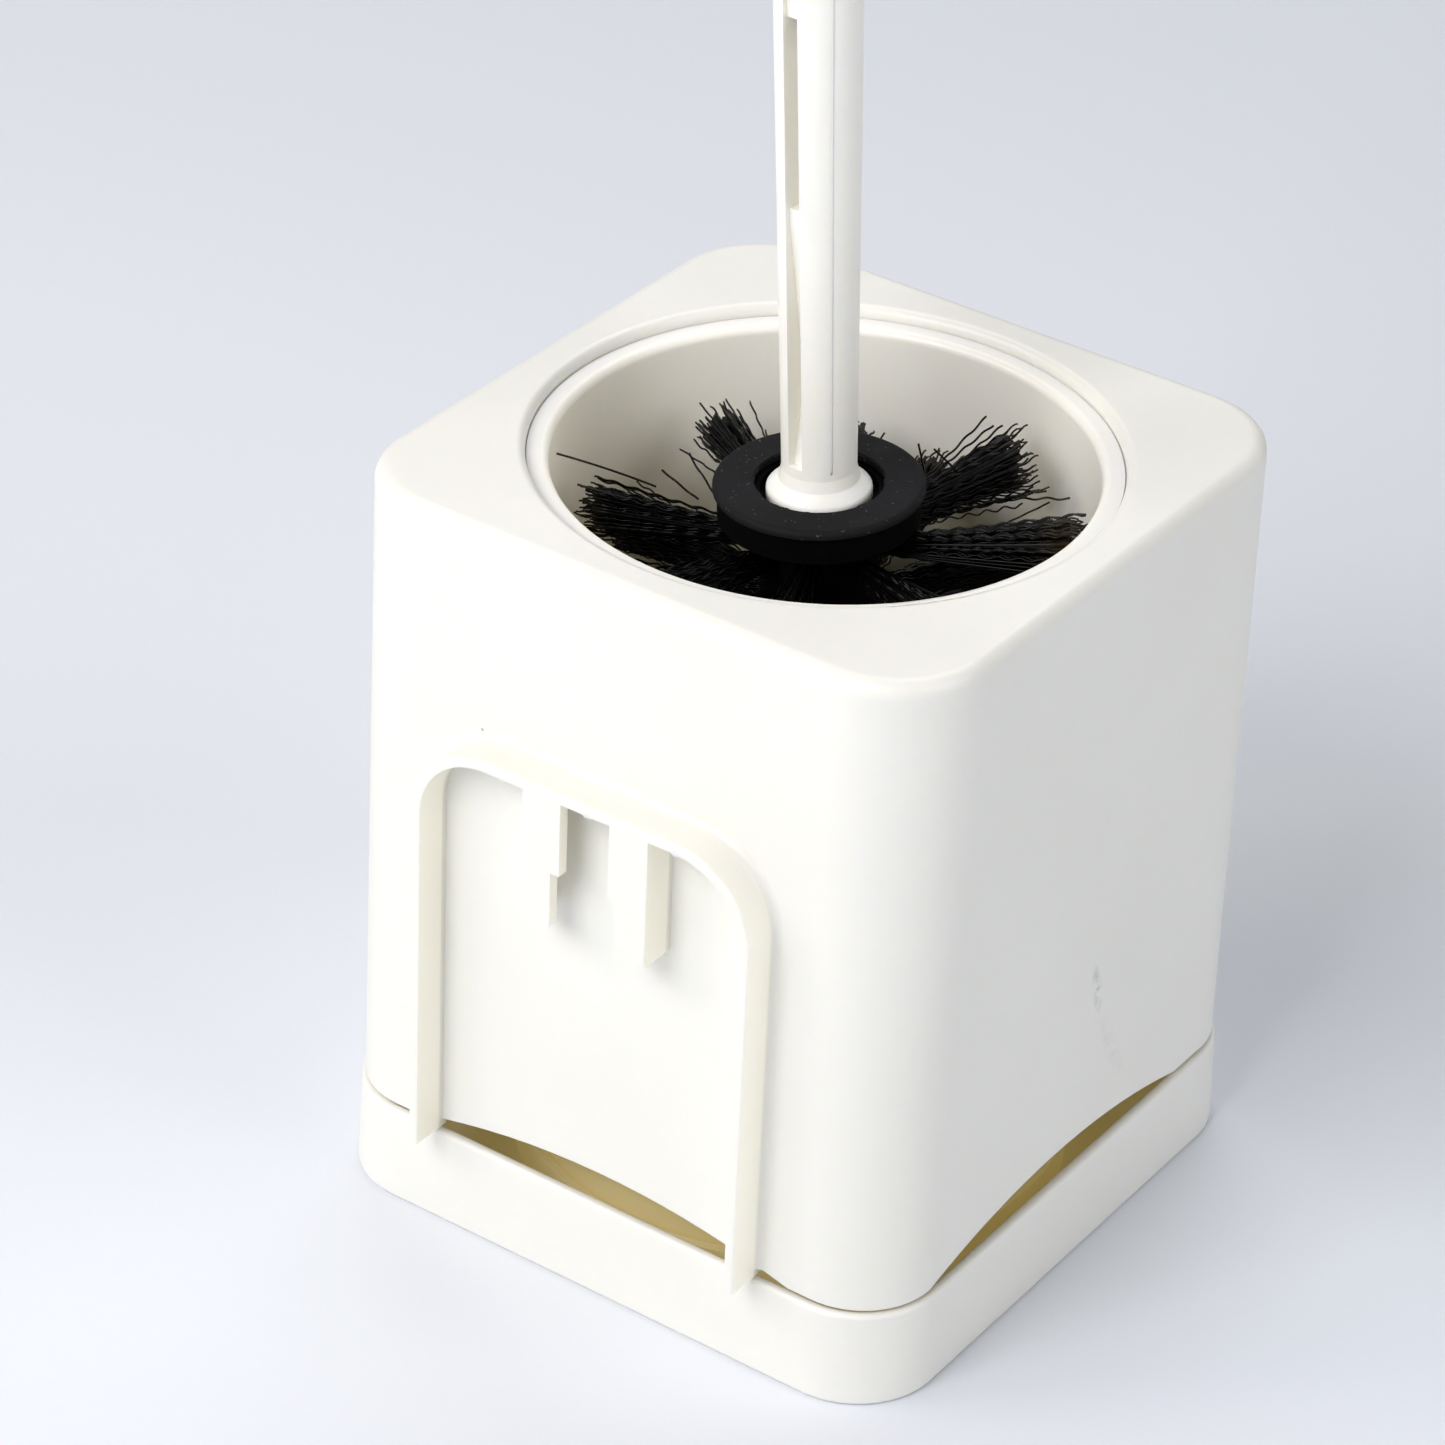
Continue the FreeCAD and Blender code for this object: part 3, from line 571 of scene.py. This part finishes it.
def tube_mesh(lines, radius, sides=3):
    """Closed thin tubes round centre lines of equal point counts: points and faces."""
    count, steps, _ = lines.shape
    run = np.gradient(lines, axis=1)
    run /= np.linalg.norm(run, axis=2, keepdims=True)
    guide = np.where(np.abs(run[..., 2:3]) > 0.9, [[[1.0, 0.0, 0.0]]], [[[0.0, 0.0, 1.0]]])
    side = np.cross(run, guide)
    side /= np.linalg.norm(side, axis=2, keepdims=True)
    up = np.cross(side, run)
    turn = np.arange(sides) * 2 * math.pi / sides
    ring = (side[:, :, None, :] * np.cos(turn)[None, None, :, None]
            + up[:, :, None, :] * np.sin(turn)[None, None, :, None])
    points = (lines[:, :, None, :] + radius * ring).reshape(-1, 3)
    start = np.arange(count)[:, None, None] * steps * sides
    step = np.arange(steps - 1)[None, :, None] * sides
    here = start + step + np.arange(sides)[None, None, :]
    there = start + step + (np.arange(sides) + 1)[None, None, :] % sides
    walls = np.stack([here, there, there + sides, here + sides], axis=-1).reshape(-1, 4)
    first = np.arange(count)[:, None] * steps * sides
    near = first + np.arange(sides)[None, ::-1]
    far = first + (steps - 1) * sides + np.arange(sides)[None, :]
    return points, walls.tolist() + near.tolist() + far.tolist()


def joined(meshes):
    """Several points-and-faces meshes as one."""
    points = []
    faces = []
    for part_points, part_faces in meshes:
        start = len(points)
        points.extend(part_points.tolist())
        faces.extend([[corner + start for corner in face] for face in part_faces])
    return np.array(points), faces


def bristle_piece(name, meshes, material, full_length):
    """A piece of many bristles that rides the brush; its tip attribute is 1 at full_length."""
    points, faces = joined(meshes)
    piece = mesh_piece(name, on_brush(points), faces, material)
    reach = np.linalg.norm(points[:, :2], axis=1)
    tip = np.clip((reach - 0.88 * full_length) / (0.12 * full_length), 0.0, 1.0)
    store = piece.data.attributes.new("tip", "FLOAT", "POINT")
    store.data.foreach_set("value", tip.astype(np.float32))
    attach(piece, "brush")
    return piece


def top_tuft(index, heading):
    """Heading, reach, rise and spread of one tuft of the topmost ring, bent its own way by use."""
    turn, reach, rise, across, upright = TOP_TUFTS[index]
    return heading + math.radians(turn), reach, rise, np.array([across, upright])


def make_bristles(material):
    """All the rings of tufts, and the bristles at the lower end."""
    rng = np.random.default_rng(7)
    step = 2 * math.pi / TUFTS_PER_RING
    for ring in range(RING_COUNT):
        height = RING_FIRST - ring * RING_PITCH
        top = ring < TOP_RINGS
        count, steps = (TOP_COUNT, TOP_STEPS) if top else (LOW_COUNT, LOW_STEPS)
        fine = []
        fill = []
        for index in range(TUFTS_PER_RING):
            heading = TUFT_TURN + index * step + (ring % 2) * step / 2 + rng.normal(0, 0.03)
            reach = min(USUAL_REACH, free_reach(heading, height) - 0.4)
            if top:
                reach += TOP_EXTRA * max(0.0, -math.cos(heading - LEAN_HEADING))
            rise = TOP_RISE if top else rng.normal(0.4, 0.6)
            spread = np.array(USUAL_SPREAD) * rng.uniform(0.9, 1.12)
            if ring == 0:
                heading, reach, rise, spread = top_tuft(index, heading)
            fine.append(bristle_lines(rng, heading, height, count, steps, rise, reach, spread))
            fill.append(bristle_lines(rng, heading, height, FILL_COUNT, FILL_STEPS,
                                      rise, reach, spread * FILL_SPREAD, fill=True))
        meshes = [tube_mesh(np.concatenate(fine), BRISTLE_RADIUS),
                  tube_mesh(np.concatenate(fill), FILL_RADIUS)]
        piece = bristle_piece(f"bristles_{ring + 1}", meshes, material, USUAL_REACH)
        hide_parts(f"bristle_ring_{ring + 1}")
    make_tip_bristles(rng, material)


TIP_BUNDLES = 6
TIP_CIRCLE = 5.6
TIP_ROOT = -96.5
TIP_LENGTH = 8.6
TIP_WAVES = 9.0 / WAVE_LENGTH


def make_tip_bristles(rng, material):
    """Short bristles that point down from the core's end, in one middle bundle and six round it."""
    steps = 14
    t = np.linspace(0.0, 1.0, steps)
    lines = []
    for index in range(TIP_BUNDLES + 1):
        turn = 2 * math.pi * index / TIP_BUNDLES
        centre = TIP_CIRCLE * np.array([math.cos(turn), math.sin(turn)]) * (index < TIP_BUNDLES)
        for _ in range(30):
            angle = rng.uniform(0, 2 * math.pi)
            place = math.sqrt(rng.uniform(0, 1))
            fan = place * (1.4 + t)
            wave = WAVE_HEIGHT * np.sin(2 * math.pi * t * TIP_WAVES + rng.uniform(0, 6.3))
            x = centre[0] + fan * math.cos(angle) + wave * t
            y = centre[1] + fan * math.sin(angle)
            z = TIP_ROOT - (TIP_LENGTH + rng.uniform(-0.6, 0.3)) * t
            lines.append(np.stack([x, y, z], axis=1))
    meshes = [tube_mesh(np.array(lines), BRISTLE_RADIUS)]
    piece = bristle_piece("bristles_tip", meshes, material, 30.0)
    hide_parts("bristle_tip")


# Heading, reach and height at the root, the same at the tip, and how crimped it is.
STRAYS = (
    (28.0, 26.0, -3.0, 35.0, 41.2, 4.9, 0.0),
    (30.0, 30.0, -5.0, 28.0, 38.6, -3.4, 0.0),
    (245.0, 15.0, -8.8, 245.0, 30.9, 2.4, 0.7),
    (246.0, 15.0, -8.8, 245.0, 32.3, 0.6, 0.7),
    (244.0, 16.5, -9.0, 245.0, 34.0, 0.0, 0.7),
    (245.0, 26.8, -7.5, 245.0, 21.2, -0.7, 0.0),
    (240.0, 26.0, -8.6, 230.0, 37.6, -8.2, 0.7),
    (238.0, 26.0, -10.4, 228.0, 41.1, -9.2, 0.7),
    (258.0, 23.5, -9.0, 262.0, 23.5, -3.3, 0.4),
    (5.0, 17.5, -10.0, 0.0, 25.3, -3.5, 0.6),
    (18.0, 20.0, -7.0, 15.0, 26.6, -3.3, 0.3),
)


def make_stray_bristles(material):
    """A few bristles that stand clear of their tufts."""
    steps = 44
    t = np.linspace(0.0, 1.0, steps)
    lines = []
    for heading_low, reach_low, low, heading_high, reach_high, high, crimp in STRAYS:
        heading = np.radians(heading_low + (heading_high - heading_low) * t)
        reach = reach_low + (reach_high - reach_low) * t
        wave = crimp * WAVE_HEIGHT * np.sin(2 * math.pi * (reach + 0.6 * reach_low) / WAVE_LENGTH)
        height = low + (high - low) * t + wave
        lines.append(np.stack([reach * np.cos(heading), reach * np.sin(heading), height], axis=1))
    bristle_piece("stray_bristles", [tube_mesh(np.array(lines), BRISTLE_RADIUS, 5)], material, USUAL_REACH)


# ---------------------------------------------------------------- small mouldings, flash and a painted-shade bead in the rim's groove

PARTING_HEADING = math.radians(143.0)
PARTING_RADIUS = 0.22
PARTING_SUNK = 0.09
PARTING_SPAN = (4.0, 250.0)
FLASH_OUTER = 10.6
FLASH_INNER = 10.5
SEAM_RADIUS = 46.95
SEAM_DROP = 1.2
SEAM_STEPS = 240
BEAD_RADIUS = 0.5
BEAD_SIDES = 8
DOTS_ACROSS = (16.0, -0.2, -16.8)
DOT_SETBACK = 1.25
DOT_HEIGHT = 95.9
DOT_SIDES = 14
DOT_PROFILE = ((1.2, 0.6), (1.2, -0.2), (0.8, -0.55))


def node_tree(node):
    """A CAD node's faces, ready for rays."""
    thing = frame["nodes"][node]
    corners = [thing.matrix_world @ vertex.co for vertex in thing.data.vertices]
    return BVHTree.FromPolygons(corners, [list(face.vertices) for face in thing.data.polygons])


def make_parting_line(material):
    """The mould's parting line, a fine ridge all along the handle's near side."""
    tree = node_tree("brush_handle")
    matrix = brush_matrix()
    heading = matrix.to_3x3() @ Vector((math.cos(PARTING_HEADING), math.sin(PARTING_HEADING), 0.0))
    line = []
    for height in np.arange(*PARTING_SPAN, 1.0):
        axis_point = matrix @ Vector((0.0, 0.0, height * MM))
        hit = tree.ray_cast(axis_point + heading * 0.03, -heading)[0]
        if hit:
            reach = (hit - axis_point).length / MM - PARTING_SUNK
            line.append([reach * math.cos(PARTING_HEADING), reach * math.sin(PARTING_HEADING), height])
    points, faces = tube_mesh(np.array([line]), PARTING_RADIUS, 6)
    piece = mesh_piece("handle_parting_line", on_brush(points), faces, material)
    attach(piece, "brush")


def ring_points(radius, height, turn):
    """Points on a level ring whose radius may change from point to point."""
    return np.stack([radius * np.cos(turn), radius * np.sin(turn), np.full_like(turn, height)], axis=1)


def washer_piece(name, outer, inner, top, thick, material):
    """A flat ring whose inner radius changes from point to point."""
    count = len(inner)
    turn = np.arange(count) * 2 * math.pi / count
    rings = [ring_points(outer, top, turn), ring_points(inner, top, turn),
             ring_points(inner, top - thick, turn), ring_points(outer, top - thick, turn)]
    faces = []
    for level in range(4):
        other = (level + 1) % 4
        for index in range(count):
            after = (index + 1) % count
            faces.append([level * count + index, level * count + after,
                          other * count + after, other * count + index])
    piece = mesh_piece(name, on_brush(np.concatenate(rings)), faces, material, smooth=False)
    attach(piece, "brush")


def make_collar_flash(material):
    """Torn rubber flash round the collar's hole."""
    rng = np.random.default_rng(3)
    count = 260
    jag = np.convolve(rng.uniform(0.0, 1.0, count + 4), np.ones(5) / 5, "valid")
    depth = 0.05 + 0.9 * np.maximum(0.0, jag - 0.38) + 0.10 * rng.uniform(0, 1, count)
    washer_piece("collar_flash", FLASH_OUTER, FLASH_INNER - depth, -0.15, 0.22, material)


def make_rim_seam(material):
    """A tan bead in the groove between the casing's recess and the tube's lip: painted shade that stands
    in for the soft shaded band there.
    """
    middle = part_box("inner_tube")[1][2] / MM - SEAM_DROP
    turn = np.linspace(0, 2 * math.pi, SEAM_STEPS, endpoint=False)[:, None]
    bead = np.linspace(0, 2 * math.pi, BEAD_SIDES, endpoint=False)[None, :]
    reach = SEAM_RADIUS + BEAD_RADIUS * np.cos(bead)
    height = np.broadcast_to(middle + BEAD_RADIUS * np.sin(bead), (SEAM_STEPS, BEAD_SIDES))
    points = np.stack([reach * np.cos(turn), reach * np.sin(turn), height], axis=-1)
    faces = []
    for row in range(SEAM_STEPS):
        here = row * BEAD_SIDES
        there = (row + 1) % SEAM_STEPS * BEAD_SIDES
        for side in range(BEAD_SIDES):
            after = (side + 1) % BEAD_SIDES
            faces.append([here + side, here + after, there + after, there + side])
    piece = mesh_piece("rim_seam", (points.reshape(-1, 3) * MM).tolist(), faces, material)
    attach(piece, "housing")


def make_rail_dots(material):
    """Three ejector marks under the top of the wall rail, near its front."""
    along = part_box("casing")[1][1] / MM - DOT_SETBACK
    turn = np.linspace(0, 2 * math.pi, DOT_SIDES, endpoint=False)
    faces = []
    for index in range(DOT_SIDES):
        after = (index + 1) % DOT_SIDES
        for level in (0, 1):
            faces.append([level * DOT_SIDES + index, (level + 1) * DOT_SIDES + index,
                          (level + 1) * DOT_SIDES + after, level * DOT_SIDES + after])
        faces.append([3 * DOT_SIDES, index, after])
        faces.append([2 * DOT_SIDES + after, 2 * DOT_SIDES + index, 3 * DOT_SIDES + 1])
    meshes = []
    for across in DOTS_ACROSS:
        rings = [ring_points(reach, height, turn) for reach, height in DOT_PROFILE]
        ends = np.array([[0.0, 0.0, 0.6], [0.0, 0.0, -0.62]])
        meshes.append((np.concatenate([*rings, ends]) + [across, along, DOT_HEIGHT], faces))
    points, faces = joined(meshes)
    piece = mesh_piece("rail_dots", (points * MM).tolist(), faces, material)
    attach(piece, "housing")


# ---------------------------------------------------------------- the whole object

CASING_TONE = (0.86, 0.845, 0.79)
CASING_SHADE = (0.84, 0.825, 0.765)
HANDLE_TONE = (0.94, 0.925, 0.87)
HANDLE_SHADE = (0.93, 0.91, 0.85)
TUBE_TONE = (0.905, 0.885, 0.825)
TUBE_SHADE = (0.895, 0.87, 0.805)


def dress_cad_nodes():
    """Materials for the CAD nodes, and the small pieces that share them."""
    casing = moulded_plastic("casing_white", CASING_TONE, CASING_SHADE, 0.30, 0.42, casing_dirt_and_rib_glow)
    tray = moulded_plastic("tray_white", CASING_TONE, CASING_SHADE, 0.32, 0.45, tray_painted_shade_and_glow)
    tube = moulded_plastic("tube_white", TUBE_TONE, TUBE_SHADE, 0.30, 0.38, tube_painted_shade_and_glow)
    handle = moulded_plastic("handle_white", HANDLE_TONE, HANDLE_SHADE, 0.31, 0.38)
    collar = rubber("collar_rubber")
    dress("casing", casing)
    dress("drip_tray", tray)
    dress("inner_tube", tube)
    dress("brush_handle", handle)
    dress("head_collar", collar)
    dress("head_core", black_plastic("core_black"))
    dress("tuft_staples", steel("staple_steel"))
    make_parting_line(handle)
    make_collar_flash(collar)
    make_rail_dots(casing)
    make_rim_seam(seam_painted_shade("seam_tan"))


make_camera()
make_studio()
make_floor()
make_backdrop()
dress_cad_nodes()
bristle_black = bristle_nylon("bristle_black")
make_bristles(bristle_black)
make_stray_bristles(bristle_black)
